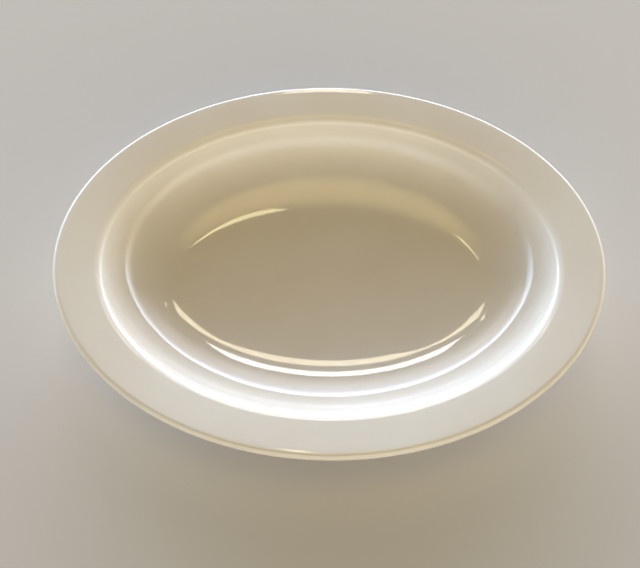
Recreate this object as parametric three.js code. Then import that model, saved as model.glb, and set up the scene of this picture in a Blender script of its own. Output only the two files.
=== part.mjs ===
// A deep oval serving dish in glazed china, built as it is made: a pressed body of fired clay,
// an oval foot ring stuck on under it, and a glaze that covers everything but the foot's bearing
// edge, which parts it into an outer coat and the patch inside the foot. Millimetres, +Z up. The
// origin is under the dish's centre, on the plane that the foot stands on. X runs along the
// dish's length and Y across it.
import * as THREE from "three";

// ---- Driving dimensions, in millimetres and degrees ----

// The three ovals that set the plan, as outside length and width.
const EDGE_OVAL = { length: 254, width: 193 };
const VERGE_OVAL = { length: 217, width: 160 }; // where the rim turns down into the well
const FLOOR_OVAL = { length: 145, width: 68 }; // the flat floor of the well

// The section through one end of the dish. A slope is the surface's angle to the table.
const THICKNESS = 5.4; // of the finished wall, glaze included
const FLOOR_UNDERSIDE = 6; // height of the recess inside the foot ring
const WALL_SLOPE = 75; // at the top of the well's hollow side, which is tangent to the floor
const VERGE_RADIUS = 5;
const UNDER_VERGE_RADIUS = 4; // the hollow turn below it
const RIM_INNER_SLOPE = 7; // the rim is gently domed
const RIM_OUTER_SLOPE = 3.5;
const LIP_RADIUS = THICKNESS / 2; // the edge is fully round

// The foot ring tapers from the body down to a narrow bearing edge.
const FOOT_TOP_SLOPE = 12; // slope of the body where the foot's outer side meets it
const FOOT_EDGE_INNER = 74.4; // half lengths of the ring at the table
const FOOT_EDGE_OUTER = 79;
const FOOT_EDGE_ROUNDING = 0.9;

const GLAZE = 0.3; // thickness of the glaze
const GLAZE_LINE = 1.5; // the glaze is wiped off the foot below this height
const GLAZE_TAPER = 0.7; // height over which its wiped edge thins out
const GLAZE_POOL_SLOPE = 14; // glaze gathers between here and the foot

// How finely the curves are divided.
const SEGMENTS = 48; // round the oval
const UNDERSIDE_STEPS = 5; // from the verge to the foot
const FOOT_SEAT_STEPS = 2; // across the foot's top

// ---- Plan: every level of the dish is an ellipse ----

// The half width that goes with a half length: on the parabola through the three ovals, and
// in proportion inside the floor.
const EDGE = EDGE_OVAL.length / 2;
const VERGE = VERGE_OVAL.length / 2;
const FLOOR = FLOOR_OVAL.length / 2;

function inwardShare(oval) {
  return (EDGE_OVAL.width - oval.width) / (EDGE_OVAL.length - oval.length);
}

function halfWidth(halfLength) {
  if (halfLength < FLOOR) return (FLOOR_OVAL.width / 2) * (halfLength / FLOOR);
  const growth = (inwardShare(FLOOR_OVAL) - inwardShare(VERGE_OVAL)) / (VERGE - FLOOR);
  const share = inwardShare(VERGE_OVAL) + growth * (VERGE - halfLength);
  return EDGE_OVAL.width / 2 - (EDGE - halfLength) * share;
}

// ---- Section: points of half length and height, at the dish's end ----

const radians = THREE.MathUtils.degToRad;
const sine = (slope) => Math.sin(radians(slope));
const cosine = (slope) => Math.cos(radians(slope));
const at = (halfLength, height) => new THREE.Vector2(halfLength, height);
const rightOf = (heading) => at(sine(heading), -cosine(heading));

// Points along a chain of tangent arcs, where each turn is { radius, to, steps } and to is the
// heading that it ends on: 0 outwards, 90 up. The chain keeps the clay on its right, and inset
// moves it that far into the clay, so chains of different inset run parallel.
function followArcs(start, turns, inset) {
  const points = [start];
  let point = start;
  let heading = 0;
  for (const { radius, to, steps } of turns) {
    const side = Math.sign(heading - to);
    const reach = side * (radius - side * inset);
    const centre = point.clone().addScaledVector(rightOf(heading), reach);
    for (let step = 1; step <= steps; step++) {
      const turned = heading + ((to - heading) * step) / steps;
      point = centre.clone().addScaledVector(rightOf(turned), -reach);
      points.push(point);
    }
    heading = to;
  }
  return points;
}

// The wall's and the rim's radii make the chain pass through the verge and the edge ovals.
const vergeRun = VERGE_RADIUS * (sine(WALL_SLOPE) - sine(RIM_INNER_SLOPE));
const WALL_RADIUS = (VERGE - FLOOR - vergeRun) / sine(WALL_SLOPE);
const lipRun = LIP_RADIUS * (1 + sine(RIM_OUTER_SLOPE));
const RIM_RADIUS = (EDGE - VERGE - lipRun) / (sine(RIM_INNER_SLOPE) - sine(RIM_OUTER_SLOPE));

// A softer turn under the verge than the wall's thickness alone would leave takes height from
// the wall's underside, so that has a smaller radius, and it runs flat from further out.
const softening = UNDER_VERGE_RADIUS - (VERGE_RADIUS - THICKNESS);
const lostRadius =
  (softening * (cosine(RIM_INNER_SLOPE) - cosine(WALL_SLOPE))) / (1 - cosine(WALL_SLOPE));
const UNDER_WALL_RADIUS = WALL_RADIUS + THICKNESS - lostRadius;
const UNDER_FLOOR =
  FLOOR + lostRadius * sine(WALL_SLOPE) - softening * (sine(WALL_SLOPE) - sine(RIM_INNER_SLOPE));

// Out over the well's side, the verge, the rim and the lip, then back under them as far as the
// slope on the underside given.
function overAndUnder(inset, lastSlope) {
  const start = at(FLOOR, FLOOR_UNDERSIDE + THICKNESS - inset);
  const turns = [
    { radius: WALL_RADIUS, to: WALL_SLOPE, steps: 7 },
    { radius: VERGE_RADIUS, to: RIM_INNER_SLOPE, steps: 3 },
    { radius: RIM_RADIUS, to: RIM_OUTER_SLOPE, steps: 2 },
    { radius: LIP_RADIUS, to: RIM_OUTER_SLOPE - 180, steps: 4 },
    { radius: RIM_RADIUS - THICKNESS, to: RIM_INNER_SLOPE - 180, steps: 2 },
    { radius: UNDER_VERGE_RADIUS, to: WALL_SLOPE - 180, steps: 3 },
    { radius: UNDER_WALL_RADIUS, to: lastSlope - 180, steps: UNDERSIDE_STEPS },
  ];
  return followArcs(start, turns, inset);
}

// The clay's own surface, from the well floor round to the foot.
const clayUnderside = FLOOR_UNDERSIDE + GLAZE;
const clayToFoot = overAndUnder(GLAZE, FOOT_TOP_SLOPE);
const footTopOuter = clayToFoot.at(-1);
const footTopInner = at(UNDER_FLOOR, clayUnderside);

// The arc of the underside that the foot is stuck to, between its outer and its inner side.
function footSeat() {
  const radius = UNDER_WALL_RADIUS - GLAZE;
  const points = [];
  for (let step = 1; step < FOOT_SEAT_STEPS; step++) {
    const slope = FOOT_TOP_SLOPE * (1 - step / FOOT_SEAT_STEPS);
    const run = radius * sine(slope);
    const rise = radius * (1 - cosine(slope));
    points.push(at(UNDER_FLOOR + run, clayUnderside + rise));
  }
  return points;
}

// The foot's sides lean, so each has its own half length at a height.
function footSide(top, edge, height) {
  return edge + ((top.x - edge) * height) / top.y;
}
const footOuter = (height) => footSide(footTopOuter, FOOT_EDGE_OUTER, height);
const footInner = (height) => footSide(footTopInner, FOOT_EDGE_INNER, height);

// ---- The pieces' sections, each with its own material on the right ----

const topCentre = (inset) => at(0, FLOOR_UNDERSIDE + THICKNESS - inset);

function bodySection() {
  return [topCentre(GLAZE), ...clayToFoot, ...footSeat(), footTopInner, at(0, clayUnderside)];
}

function footSection() {
  const rounding = FOOT_EDGE_ROUNDING;
  const corner = rounding * (1 - Math.SQRT1_2); // the rounding's middle, from the sharp corner
  return [
    footTopInner,
    ...footSeat().reverse(),
    footTopOuter,
    at(footOuter(GLAZE_LINE), GLAZE_LINE),
    at(footOuter(rounding), rounding),
    at(footOuter(corner) - corner, corner),
    at(FOOT_EDGE_OUTER - rounding, 0),
    at(FOOT_EDGE_INNER + rounding, 0),
    at(footInner(corner) + corner, corner),
    at(footInner(rounding), rounding),
    at(footInner(GLAZE_LINE), GLAZE_LINE),
    footTopInner,
  ];
}

// The outer coat: the well, the rim, the lip, the underside and the foot's outer side.
function glazeCoatSection() {
  const thinned = GLAZE_LINE + GLAZE_TAPER;
  const pool = footTopOuter.y - 3 * GLAZE;
  return [
    topCentre(0),
    ...overAndUnder(0, GLAZE_POOL_SLOPE),
    at(footOuter(pool) + GLAZE, pool),
    at(footOuter(thinned) + GLAZE, thinned),
    at(footOuter(GLAZE_LINE), GLAZE_LINE),
    ...clayToFoot.toReversed(),
    topCentre(GLAZE),
  ];
}

// The patch: the recess inside the foot ring and the foot's inner side.
function glazePatchSection() {
  const thinned = GLAZE_LINE + GLAZE_TAPER;
  const pool = FLOOR_UNDERSIDE - 3 * GLAZE;
  return [
    at(0, clayUnderside),
    footTopInner,
    at(footInner(GLAZE_LINE), GLAZE_LINE),
    at(footInner(thinned) - GLAZE, thinned),
    at(footInner(pool) - GLAZE, pool),
    at(footInner(pool) - 4 * GLAZE, FLOOR_UNDERSIDE),
    at(0, FLOOR_UNDERSIDE),
  ];
}

// ---- Solids ----

// Splits each four-sided facet along its shorter diagonal. Two pieces that touch then share the
// same triangles, whichever of them is inside.
function splitAlike(geometry) {
  const position = geometry.getAttribute("position");
  const corner = (i) => new THREE.Vector3().fromBufferAttribute(position, i);
  const index = Array.from(geometry.getIndex().array);
  const facets = [];
  for (let i = 0; i < index.length; i += 6) {
    const [a, b, d, c] = index.slice(i, i + 4);
    const acrossAC = corner(a).distanceTo(corner(c));
    const acrossBD = corner(b).distanceTo(corner(d));
    facets.push(...(acrossAC < acrossBD ? [a, b, c, a, c, d] : [a, b, d, c, d, b]));
  }
  geometry.setIndex(facets);
}

// Turns a section about Z, then presses each round ring into its oval.
function ovalSolid(section) {
  const geometry = new THREE.LatheGeometry(section.toReversed(), SEGMENTS).rotateX(Math.PI / 2);
  const position = geometry.getAttribute("position");
  for (let i = 0; i < position.count; i++) {
    const radius = Math.hypot(position.getX(i), position.getY(i));
    if (radius < GLAZE) continue; // the centre point
    position.setY(i, (position.getY(i) * halfWidth(radius)) / radius);
  }
  splitAlike(geometry);
  geometry.computeVertexNormals();
  return geometry;
}

const firedClay = new THREE.MeshStandardMaterial({ color: 0xe9e4d8, roughness: 0.6 });
const bareFoot = new THREE.MeshStandardMaterial({ color: 0xd8cfbd, roughness: 0.85 });
const glaze = new THREE.MeshStandardMaterial({ color: 0xf4f1e9, roughness: 0.08 });

function piece(name, section, material) {
  const mesh = new THREE.Mesh(ovalSolid(section), material);
  mesh.name = name;
  return mesh;
}

const dish = new THREE.Group();
dish.add(piece("china_body", bodySection(), firedClay));
dish.add(piece("foot_ring", footSection(), bareFoot));
dish.add(piece("glaze_coat", glazeCoatSection(), glaze));
dish.add(piece("glaze_patch", glazePatchSection(), glaze));

export default dish;
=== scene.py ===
# A deep oval serving dish in plain glazed china, on a pale floor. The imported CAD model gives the
# dish's size and place. This script repeats the CAD model's section in finer steps, with the
# slight unevenness of ware that is pressed, dipped in glaze and fired, and gives it its looks.
# Dimensions are in millimetres and slopes in degrees, unless they say metres, and meshes are in
# metres.
import math

import bpy
import numpy as np
from mathutils import Matrix, Vector, noise


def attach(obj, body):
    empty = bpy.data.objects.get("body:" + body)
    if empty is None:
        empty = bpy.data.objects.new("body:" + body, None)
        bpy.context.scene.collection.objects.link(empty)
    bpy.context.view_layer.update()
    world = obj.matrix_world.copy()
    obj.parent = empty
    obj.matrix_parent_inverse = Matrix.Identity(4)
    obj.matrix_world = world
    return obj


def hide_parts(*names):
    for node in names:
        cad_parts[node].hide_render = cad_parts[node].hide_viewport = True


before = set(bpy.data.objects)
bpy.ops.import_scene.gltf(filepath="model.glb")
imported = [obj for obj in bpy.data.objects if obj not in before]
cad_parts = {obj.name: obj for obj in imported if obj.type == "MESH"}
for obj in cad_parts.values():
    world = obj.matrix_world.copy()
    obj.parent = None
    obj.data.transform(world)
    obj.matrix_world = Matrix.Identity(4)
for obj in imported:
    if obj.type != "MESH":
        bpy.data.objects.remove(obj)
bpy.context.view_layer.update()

MM = 0.001

# ---- The dish's shape, as in the CAD model ----

# Outside length and width of the three ovals that set the plan.
EDGE_OVAL = (254.0, 193.0)
VERGE_OVAL = (217.0, 160.0)  # where the rim turns down into the well
FLOOR_OVAL = (145.0, 68.0)

HEIGHT = 41.0  # rounded up: the lip's top is at 40.9
THICKNESS = 5.4
FLOOR_UNDERSIDE = 6.0
WALL_SLOPE = 75.0  # at the top of the well
VERGE_RADIUS = 5.0
UNDER_VERGE_RADIUS = 4.0
RIM_INNER_SLOPE = 7.0
RIM_OUTER_SLOPE = 3.5
LIP_RADIUS = THICKNESS / 2

FOOT_TOP_SLOPE = 12.0
FOOT_EDGE_INNER = 74.4
FOOT_EDGE_OUTER = 79.0
FOOT_EDGE_ROUNDING = 0.9

GLAZE = 0.3
GLAZE_LINE = 1.5  # how high up the foot the glaze is wiped off
GLAZE_TAPER = 0.7
GLAZE_POOL = 3 * GLAZE  # how far the glaze runs down the foot where it fills the corner
GLAZE_POOL_SLOPE = 14.0

# ---- Fineness ----

SEGMENTS = 288  # round the oval
ARC_STEP = 3.0  # degrees turned between two rings of a section
RIM_STEP = 0.5  # finer, because the rim's long arc turns only a little
LIP_STEP = 9.0
FLAT_STEP = 6.0  # millimetres between two rings of a flat stretch

EDGE = EDGE_OVAL[0] / 2
VERGE = VERGE_OVAL[0] / 2
FLOOR = FLOOR_OVAL[0] / 2


# ---- Plan and section ----

def inward_share(oval):
    return (EDGE_OVAL[1] - oval[1]) / (EDGE_OVAL[0] - oval[0])


def half_width(half_length):
    """The half width that goes with a half length: on the parabola through the three ovals,
    and in proportion inside the floor."""
    if half_length < FLOOR:
        return FLOOR_OVAL[1] / 2 * half_length / FLOOR
    growth = (inward_share(FLOOR_OVAL) - inward_share(VERGE_OVAL)) / (VERGE - FLOOR)
    share = inward_share(VERGE_OVAL) + growth * (VERGE - half_length)
    return EDGE_OVAL[1] / 2 - (EDGE - half_length) * share


def sine(slope):
    return math.sin(math.radians(slope))


def cosine(slope):
    return math.cos(math.radians(slope))


def right_of(heading):
    return np.array([sine(heading), -cosine(heading)])


def follow_arcs(start, turns, inset):
    """Points along a chain of tangent arcs (radius, last heading, degrees per step), from
    heading 0, outwards. The clay is on the right, and inset moves the chain into it."""
    point = np.array(start, float)
    points = [point]
    heading = 0.0
    for radius, last, step in turns:
        side = math.copysign(1, heading - last)
        reach = side * (radius - side * inset)
        centre = point + right_of(heading) * reach
        for turned in np.linspace(heading, last, math.ceil(abs(last - heading) / step) + 1)[1:]:
            point = centre - right_of(turned) * reach
            points.append(point)
        heading = last
    return points


# The wall's and the rim's radii make the chain pass through the verge and the edge ovals. The
# turn under the verge is softer than the wall's thickness alone would leave, which takes radius
# from the wall's underside.
verge_run = VERGE_RADIUS * (sine(WALL_SLOPE) - sine(RIM_INNER_SLOPE))
WALL_RADIUS = (VERGE - FLOOR - verge_run) / sine(WALL_SLOPE)
lip_run = LIP_RADIUS * (1 + sine(RIM_OUTER_SLOPE))
RIM_RADIUS = (EDGE - VERGE - lip_run) / (sine(RIM_INNER_SLOPE) - sine(RIM_OUTER_SLOPE))
softening = UNDER_VERGE_RADIUS - (VERGE_RADIUS - THICKNESS)
lost_radius = softening * (cosine(RIM_INNER_SLOPE) - cosine(WALL_SLOPE)) / (1 - cosine(WALL_SLOPE))
UNDER_WALL_RADIUS = WALL_RADIUS + THICKNESS - lost_radius
UNDER_FLOOR = (
    FLOOR + lost_radius * sine(WALL_SLOPE) - softening * (sine(WALL_SLOPE) - sine(RIM_INNER_SLOPE))
)


def over_and_under(inset, last_slope):
    """Out over the well's side, the verge, the rim and the lip, then back under them."""
    turns = [
        (WALL_RADIUS, WALL_SLOPE, ARC_STEP),
        (VERGE_RADIUS, RIM_INNER_SLOPE, ARC_STEP),
        (RIM_RADIUS, RIM_OUTER_SLOPE, RIM_STEP),
        (LIP_RADIUS, RIM_OUTER_SLOPE - 180, LIP_STEP),
        (RIM_RADIUS - THICKNESS, RIM_INNER_SLOPE - 180, RIM_STEP),
        (UNDER_VERGE_RADIUS, WALL_SLOPE - 180, ARC_STEP),
        (UNDER_WALL_RADIUS, last_slope - 180, ARC_STEP),
    ]
    return follow_arcs((FLOOR, FLOOR_UNDERSIDE + THICKNESS - inset), turns, inset)


def across(a, b):
    """The points between a and b, at most FLAT_STEP apart, without a and b themselves."""
    a, b = np.array(a, float), np.array(b, float)
    steps = math.ceil(np.linalg.norm(b - a) / FLAT_STEP)
    return [a + (b - a) * k / steps for k in range(1, steps)]


def rounded(a, corner, b, steps=6):
    """Points from a to b on a smooth curve that corner pulls out."""
    a, corner, b = (np.array(p, float) for p in (a, corner, b))
    shares = np.linspace(0, 1, steps + 1)
    return [a * (1 - t) ** 2 + corner * 2 * t * (1 - t) + b * t * t for t in shares]


clay_underside = FLOOR_UNDERSIDE + GLAZE
clay_to_foot = over_and_under(GLAZE, FOOT_TOP_SLOPE)
foot_top_outer = clay_to_foot[-1]
foot_top_inner = np.array([UNDER_FLOOR, clay_underside])


def foot_seat():
    """The arc that the foot is stuck to, from its outer to its inner side, without its ends."""
    radius = UNDER_WALL_RADIUS - GLAZE
    slopes = np.arange(FOOT_TOP_SLOPE - ARC_STEP, 0, -ARC_STEP)
    return [
        np.array([UNDER_FLOOR + radius * sine(s), clay_underside + radius * (1 - cosine(s))])
        for s in slopes
    ]


def foot_side(top, edge, height):
    return edge + (top[0] - edge) * height / top[1]


def foot_outer(height):
    return foot_side(foot_top_outer, FOOT_EDGE_OUTER, height)


def foot_inner(height):
    return foot_side(foot_top_inner, FOOT_EDGE_INNER, height)


def top_centre(inset):
    return (0.0, FLOOR_UNDERSIDE + THICKNESS - inset)


# ---- The pieces' sections, each with its own material on the right ----

def body_section():
    centre, under = top_centre(GLAZE), (0.0, clay_underside)
    return [
        centre,
        *across(centre, clay_to_foot[0]),
        *clay_to_foot,
        *foot_seat(),
        foot_top_inner,
        *across(foot_top_inner, under),
        under,
    ]


def foot_section():
    r = FOOT_EDGE_ROUNDING
    return [
        foot_top_inner,
        *foot_seat()[::-1],
        foot_top_outer,
        (foot_outer(GLAZE_LINE), GLAZE_LINE),
        *rounded((foot_outer(r), r), (FOOT_EDGE_OUTER, 0), (FOOT_EDGE_OUTER - r, 0)),
        *rounded((FOOT_EDGE_INNER + r, 0), (FOOT_EDGE_INNER, 0), (foot_inner(r), r)),
        (foot_inner(GLAZE_LINE), GLAZE_LINE),
        foot_top_inner,
    ]


def glaze_edge(side, offset):
    """The wiped edge of the glaze on one side of the foot, from full thickness to nothing."""
    thinned = GLAZE_LINE + GLAZE_TAPER
    full = (side(thinned) + offset, thinned)
    return rounded(full, (side(GLAZE_LINE) + offset, GLAZE_LINE), (side(GLAZE_LINE), GLAZE_LINE))


def coat_sides():
    """The outer coat, out over the well, the rim and the lip and back under them to the foot:
    its side to the air, then its side to the clay."""
    outside = over_and_under(0, GLAZE_POOL_SLOPE)
    pool = foot_top_outer[1] - GLAZE_POOL
    corner = (foot_outer(pool + GLAZE) + GLAZE, pool + 2 * GLAZE)
    air = [
        top_centre(0),
        *across(top_centre(0), outside[0]),
        *outside,
        *rounded(outside[-1], corner, (foot_outer(pool) + GLAZE, pool))[1:],
        *glaze_edge(foot_outer, GLAZE),
    ]
    clay = [
        *clay_to_foot[::-1],
        *across(clay_to_foot[0], top_centre(GLAZE)),
        top_centre(GLAZE),
    ]
    return air, clay


def patch_sides():
    """The glaze in the recess inside the foot ring, and on the foot's inner side: its side to
    the clay, then its side to the air."""
    pool = FLOOR_UNDERSIDE - GLAZE_POOL
    under = (0.0, FLOOR_UNDERSIDE)
    flat = (foot_inner(pool) - 4 * GLAZE, FLOOR_UNDERSIDE)
    corner = (foot_inner(pool) - GLAZE, FLOOR_UNDERSIDE)
    clay = [
        (0.0, clay_underside),
        *across((0.0, clay_underside), foot_top_inner),
        foot_top_inner,
    ]
    air = [
        *glaze_edge(foot_inner, -GLAZE)[::-1],
        *rounded((foot_inner(pool) - GLAZE, pool), corner, flat),
        *across(flat, under),
        under,
    ]
    return clay, air


# ---- Unevenness ----

KILN_WARP = 0.35  # how far the ware is out of true at its edge
KILN_SAG = 0.25
KILN_WAVE = 90.0  # the warp's size across
GLAZE_RIPPLE = 0.02  # how far the glaze's surface sinks, where it ran thin
RIPPLE_SIZE = 22.0
SEED_STRIDE = (13.7, 7.1, 3.3)  # how far apart in the noise two seeds are


def soft_noise(points, size, seed):
    """Smooth noise from 0 to 1 at each point, with features of the given size."""
    offset = Vector([seed * stride for stride in SEED_STRIDE])
    values = np.array([noise.noise(Vector(p) / size + offset) for p in points])
    return np.clip(0.5 + values, 0, 1)


def warp(points):
    """Moves points as firing does: always inwards and down, most at the edge and the top."""
    reach = np.hypot(points[:, 0] / EDGE, points[:, 1] / (EDGE_OVAL[1] / 2))
    height = points[:, 2] / HEIGHT
    inward = KILN_WARP / EDGE * soft_noise(points, KILN_WAVE, 1) * reach
    points[:, 0] *= 1 - inward
    points[:, 1] *= 1 - inward
    points[:, 2] -= KILN_SAG * soft_noise(points, KILN_WAVE, 2) * height


def ripple(mesh, first, last):
    """Sinks the vertices from first up to last, which are the glaze's side to the air."""
    places = np.empty(len(mesh.vertices) * 3)
    normals = np.empty(len(mesh.vertices) * 3)
    mesh.vertices.foreach_get("co", places)
    mesh.vertex_normals.foreach_get("vector", normals)
    places = places.reshape(-1, 3)
    rippled = slice(first, last)
    depth = GLAZE_RIPPLE * MM * soft_noise(places[rippled] / MM, RIPPLE_SIZE, 3)
    places[rippled] -= normals.reshape(-1, 3)[rippled] * depth[:, None]
    mesh.vertices.foreach_set("co", places.ravel())
    mesh.update()


# ---- Meshes ----

def ring_of(point):
    """The ring of vertices, or the one vertex on the axis, for a point of a section."""
    half_length, height = point
    if half_length == 0:
        return np.array([[0.0, 0.0, height]])
    turn = np.linspace(0, 2 * math.pi, SEGMENTS, endpoint=False)
    x = half_length * np.cos(turn)
    y = half_width(half_length) * np.sin(turn)
    return np.stack([x, y, np.full(SEGMENTS, height)], axis=1)


def join_rings(first, second):
    """Faces between two rings, given as lists of vertex numbers."""
    if len(first) == 1:
        first = first * SEGMENTS
    if len(second) == 1:
        second = second * SEGMENTS
    faces = []
    for k in range(SEGMENTS):
        after = (k + 1) % SEGMENTS
        corners = [first[k], second[k], second[after], first[after]]
        faces.append(list(dict.fromkeys(corners)))
    return faces


def oval_piece(name, section, rippled=range(0)):
    """A closed solid from a section that starts and ends on the axis, or at one point. rippled
    says which of the section's points, by number, are the glaze's side to the air."""
    closed_loop = section[0] is section[-1]
    if closed_loop:
        section = section[:-1]
    rings, points = [], []
    for point in section:
        ring = ring_of(point)
        rings.append(list(range(len(points), len(points) + len(ring))))
        points.extend(ring)
    points = np.array(points)
    pairs = list(zip(rings, rings[1:]))
    if closed_loop:
        pairs.append((rings[-1], rings[0]))
    faces = [face for first, second in pairs for face in join_rings(first, second)]

    mesh = bpy.data.meshes.new(name)
    warp(points)
    mesh.from_pydata((points * MM).tolist(), [], faces)
    mesh.update()
    if rippled:
        ripple(mesh, rings[rippled[0]][0], rings[rippled[-1]][-1] + 1)
    for polygon in mesh.polygons:
        polygon.use_smooth = True
    piece = bpy.data.objects.new(name, mesh)
    bpy.context.scene.collection.objects.link(piece)
    return piece


# ---- Materials ----

def new_material(name):
    material = bpy.data.materials.new(name)
    material.use_nodes = True
    nodes = material.node_tree.nodes
    nodes.clear()
    output = nodes.new("ShaderNodeOutputMaterial")
    shader = nodes.new("ShaderNodeBsdfPrincipled")
    material.node_tree.links.new(shader.outputs["BSDF"], output.inputs["Surface"])
    return material, shader


def add_node(material, kind, inputs=None, **settings):
    """A new node in a material or the world, with its settings and its inputs, each a value or
    another node's socket."""
    node = material.node_tree.nodes.new(kind)
    for key, value in settings.items():
        setattr(node, key, value)
    for key, value in (inputs or {}).items():
        if isinstance(value, bpy.types.NodeSocket):
            material.node_tree.links.new(value, node.inputs[key])
        else:
            node.inputs[key].default_value = value
    return node


def place_of(material):
    """Where a point is on the object, in metres."""
    return add_node(material, "ShaderNodeTexCoord").outputs["Object"]


def cloudy(material, scale, detail=3.0, roughness=0.5):
    inputs = {
        "Vector": place_of(material),
        "Scale": scale,
        "Detail": detail,
        "Roughness": roughness,
    }
    return add_node(material, "ShaderNodeTexNoise", inputs).outputs["Fac"]


def ranged(material, value, low, high, to_low=0.0, to_high=1.0, smooth=False):
    """The value moved from the range low to high into the range to_low to to_high."""
    inputs = {
        "Value": value,
        "From Min": low,
        "From Max": high,
        "To Min": to_low,
        "To Max": to_high,
    }
    kind = "SMOOTHSTEP" if smooth else "LINEAR"
    node = add_node(material, "ShaderNodeMapRange", inputs, interpolation_type=kind)
    return node.outputs["Result"]


def product(material, a, b):
    return add_node(material, "ShaderNodeMath", {0: a, 1: b}, operation="MULTIPLY").outputs[0]


def blended(material, share, a, b):
    """The colour between a and b."""
    node = add_node(material, "ShaderNodeMix", data_type="RGBA")
    for socket, value in (("Factor", share), ("A", a), ("B", b)):
        target = [s for s in node.inputs if s.name == socket and s.enabled][0]
        if isinstance(value, bpy.types.NodeSocket):
            material.node_tree.links.new(value, target)
        else:
            target.default_value = value
    return [s for s in node.outputs if s.enabled][0]


def link(material, output, shader, socket):
    material.node_tree.links.new(output, shader.inputs[socket])


def glaze_material():
    """A clear glaze on white china: glossy, faintly clouded, with rare iron specks."""
    material, shader = new_material("white_glaze")
    warm = (0.79, 0.73, 0.63, 1)
    white = (0.82, 0.77, 0.675, 1)
    speck = (0.30, 0.22, 0.14, 1)
    clouds = ranged(material, cloudy(material, 22.0), 0.35, 0.65)
    tone = blended(material, clouds, warm, white)
    cells = add_node(
        material,
        "ShaderNodeTexVoronoi",
        {"Vector": place_of(material), "Scale": 55.0},
    )
    speck_edge, speck_core = 0.012, 0.006  # as shares of a cell
    specks = ranged(material, cells.outputs["Distance"], speck_edge, speck_core)
    tone = blended(material, specks, tone, speck)
    link(material, tone, shader, "Base Color")

    shader.inputs["Roughness"].default_value = 0.30
    shader.inputs["Specular IOR Level"].default_value = 0.0
    shader.inputs["IOR"].default_value = 1.5
    shader.inputs["Coat Weight"].default_value = 1.0
    shader.inputs["Coat Roughness"].default_value = 0.025
    shader.inputs["Coat IOR"].default_value = 1.5
    shader.inputs["Subsurface Weight"].default_value = 0.15
    shader.inputs["Subsurface Radius"].default_value = (1.0, 0.8, 0.6)
    shader.inputs["Subsurface Scale"].default_value = 0.0015

    peel = add_node(
        material,
        "ShaderNodeBump",
        {"Strength": 0.25, "Distance": 0.00002, "Height": cloudy(material, 320.0, 2.0)},
    )
    link(material, peel.outputs["Normal"], shader, "Coat Normal")
    return material


def foot_material():
    """Bare fired clay, fine-grained and matt, rubbed grey where it stands."""
    material, shader = new_material("bare_foot")
    clay = (0.66, 0.60, 0.50, 1)
    pale = (0.74, 0.69, 0.60, 1)
    rubbed = (0.50, 0.47, 0.42, 1)
    tone = blended(material, ranged(material, cloudy(material, 180.0), 0.35, 0.65), clay, pale)
    height = add_node(material, "ShaderNodeSeparateXYZ", {"Vector": place_of(material)})
    rubbed_height = 0.0006  # metres
    standing = ranged(material, height.outputs["Z"], rubbed_height, 0.0)
    patchy = ranged(material, cloudy(material, 900.0, 5.0, 0.6), 0.34, 0.7)
    wear = product(material, standing, patchy)
    link(material, blended(material, wear, tone, rubbed), shader, "Base Color")
    link(material, ranged(material, patchy, 0, 1, 0.85, 0.65), shader, "Roughness")
    grain = add_node(
        material,
        "ShaderNodeBump",
        {"Strength": 0.6, "Distance": 0.00005, "Height": cloudy(material, 2500.0, 4.0, 0.6)},
    )
    link(material, grain.outputs["Normal"], shader, "Normal")
    return material


def clay_material():
    """The fired clay under the glaze."""
    material, shader = new_material("fired_china")
    pale = (0.84, 0.80, 0.72, 1)
    white = (0.88, 0.85, 0.79, 1)
    tone = blended(material, ranged(material, cloudy(material, 90.0), 0.3, 0.7), pale, white)
    link(material, tone, shader, "Base Color")
    shader.inputs["Roughness"].default_value = 0.6
    return material


def floor_material():
    material, shader = new_material("pale_floor")
    shader.inputs["Base Color"].default_value = (0.66, 0.65, 0.64, 1)
    shader.inputs["Roughness"].default_value = 0.9
    return material


# ---- The dish ----

glaze = glaze_material()

body = oval_piece("fired_body", body_section())
body.data.materials.append(clay_material())
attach(body, "root")
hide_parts("china_body")

foot = oval_piece("bare_foot_ring", foot_section())
foot.data.materials.append(foot_material())
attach(foot, "root")
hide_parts("foot_ring")

air, clay = coat_sides()
coat = oval_piece("outer_glaze", air + clay, rippled=range(len(air) - 1))
coat.data.materials.append(glaze)
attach(coat, "root")
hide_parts("glaze_coat")

clay, air = patch_sides()
patch = oval_piece(
    "recess_glaze", clay + air, rippled=range(len(clay) + 1, len(clay) + len(air))
)
patch.data.materials.append(glaze)
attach(patch, "root")
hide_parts("glaze_patch")

# ---- Floor, lights and camera ----

FLOOR_SIZE = 40.0  # metres
LAMP_DISTANCE = 2.2  # metres

floor_mesh = bpy.data.meshes.new("floor")
half = FLOOR_SIZE / 2
floor_mesh.from_pydata(
    [(-half, -half, 0), (half, -half, 0), (half, half, 0), (-half, half, 0)], [], [(0, 1, 2, 3)]
)
floor = bpy.data.objects.new("floor", floor_mesh)
floor.data.materials.append(floor_material())
bpy.context.scene.collection.objects.link(floor)


def area_light(name, toward, size, glow, colour):
    """A small lamp, LAMP_DISTANCE away from the dish. glow is its brightness, as the sky's."""
    light = bpy.data.lights.new(name, "AREA")
    light.shape = "RECTANGLE"
    light.size, light.size_y = size
    light.energy = glow * math.pi * size[0] * size[1]
    light.color = colour
    lamp = bpy.data.objects.new(name, light)
    direction = Vector(toward).normalized()
    lamp.location = direction * LAMP_DISTANCE
    lamp.rotation_euler = direction.to_track_quat("Z", "Y").to_euler()
    bpy.context.scene.collection.objects.link(lamp)


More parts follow.
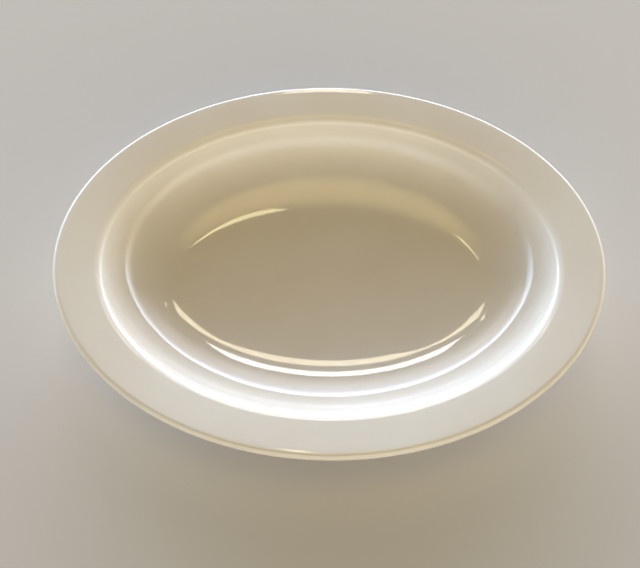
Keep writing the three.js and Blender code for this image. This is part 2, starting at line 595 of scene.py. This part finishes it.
area_light("high_lamp", (-0.026, 0.29, 0.957), (0.06, 0.22), 10.0, (1.0, 0.88, 0.50))
area_light("middle_lamp", (0.005, 0.583, 0.81), (0.22, 0.19), 11.0, (1.0, 0.88, 0.65))
area_light("low_lamp", (0.0, 0.722, 0.69), (0.14, 0.20), 16.0, (1.0, 1.0, 1.0))
area_light("left_lamp", (-0.11, 0.66, 0.74), (0.06, 0.10), 12.0, (1.0, 0.94, 0.80))
area_light("right_lamp", (0.20, 0.63, 0.75), (0.06, 0.10), 9.0, (1.0, 0.92, 0.74))

world = bpy.data.worlds.new("room")
bpy.context.scene.world = world
world.use_nodes = True
sky = add_node(world, "ShaderNodeTexCoord").outputs["Generated"]
elevation = add_node(world, "ShaderNodeSeparateXYZ", {"Vector": sky}).outputs["Z"]


def patch_of_light(toward, spread, faint, full):
    """The share, from 0 to 1, of a patch of light round a direction of the compass. spread is
    the angle from there at which it fades out. It is full at one elevation and fades out at
    the other, with soft edges."""
    ahead = add_node(world, "ShaderNodeVectorMath", {0: sky, 1: toward}, operation="DOT_PRODUCT")
    around = ranged(world, ahead.outputs["Value"], cosine(spread), 1.0, smooth=True)
    above = ranged(world, elevation, sine(faint), sine(full), smooth=True)
    return product(world, around, above)


def lit_by(glow, share, colour):
    """glow with a share of another colour added."""
    inputs = {0: colour, 1: share, 2: glow}
    return add_node(world, "ShaderNodeVectorMath", inputs, operation="MULTIPLY_ADD").outputs[0]


TO_WINDOW = (-0.12, 0.99, 0.0)
window_wall = patch_of_light(TO_WINDOW, 95, 20, 8)
curtain = patch_of_light(TO_WINDOW, 62, 42, 26)
above_sill = ranged(world, elevation, sine(12), sine(24), smooth=True)
skylight = product(world, patch_of_light((0.0, 1.0, 0.0), 24, 42, 28), above_sill)
room_behind = patch_of_light((0.0, -1.0, 0.0), 80, 30, 14)
ceiling_behind = patch_of_light((0.0, -1.0, 0.0), 80, 60, 32)
right_wall = patch_of_light((1.0, 0.0, 0.0), 75, 20, 8)
ceiling = ranged(world, elevation, sine(70), 1.0, smooth=True)
room = lit_by((0.0, 0.0, 0.0), window_wall, (7.2, 9.4, 12.8))
room = lit_by(room, curtain, (3.25, 3.2, 3.4))
room = lit_by(room, skylight, (0.3, 1.0, 7.0))
room = lit_by(room, room_behind, (1.2, 1.7, 2.0))
room = lit_by(room, ceiling_behind, (1.3, 0.9, 0.5))
room = lit_by(room, right_wall, (2.3, 1.8, 1.0))
room = lit_by(room, ceiling, (2.7, 2.1, 0.85))

# The backdrop is plain where the camera sees it, and where light would come up from below.
BACKDROP = (0.60, 0.60, 0.60, 1)
above_floor = ranged(world, elevation, sine(-3), 0.0)
seen = add_node(world, "ShaderNodeLightPath").outputs["Is Camera Ray"]
room = blended(world, above_floor, BACKDROP, room)
room = blended(world, seen, room, BACKDROP)
background = world.node_tree.nodes["Background"]
world.node_tree.links.new(room, background.inputs["Color"])

bpy.context.scene.view_settings.view_transform = "Standard"

# The camera is about 44 cm from the middle of the dish, as when a cook looks down at the table.
CAMERA_PITCH = 63.1  # degrees below the horizon
CAMERA_ROLL = 0.49
CAMERA_PLACE = (-4.2, -194.2, 391.2)
LENS = 49.1

camera = bpy.data.objects.new("camera", bpy.data.cameras.new("camera"))
camera.data.lens = LENS
pitch = Matrix.Rotation(math.radians(90 - CAMERA_PITCH), 4, "X")
roll = Matrix.Rotation(math.radians(CAMERA_ROLL), 4, "Z")
camera.matrix_world = Matrix.Translation(Vector(CAMERA_PLACE) * MM) @ pitch @ roll
bpy.context.scene.collection.objects.link(camera)
bpy.context.scene.camera = camera
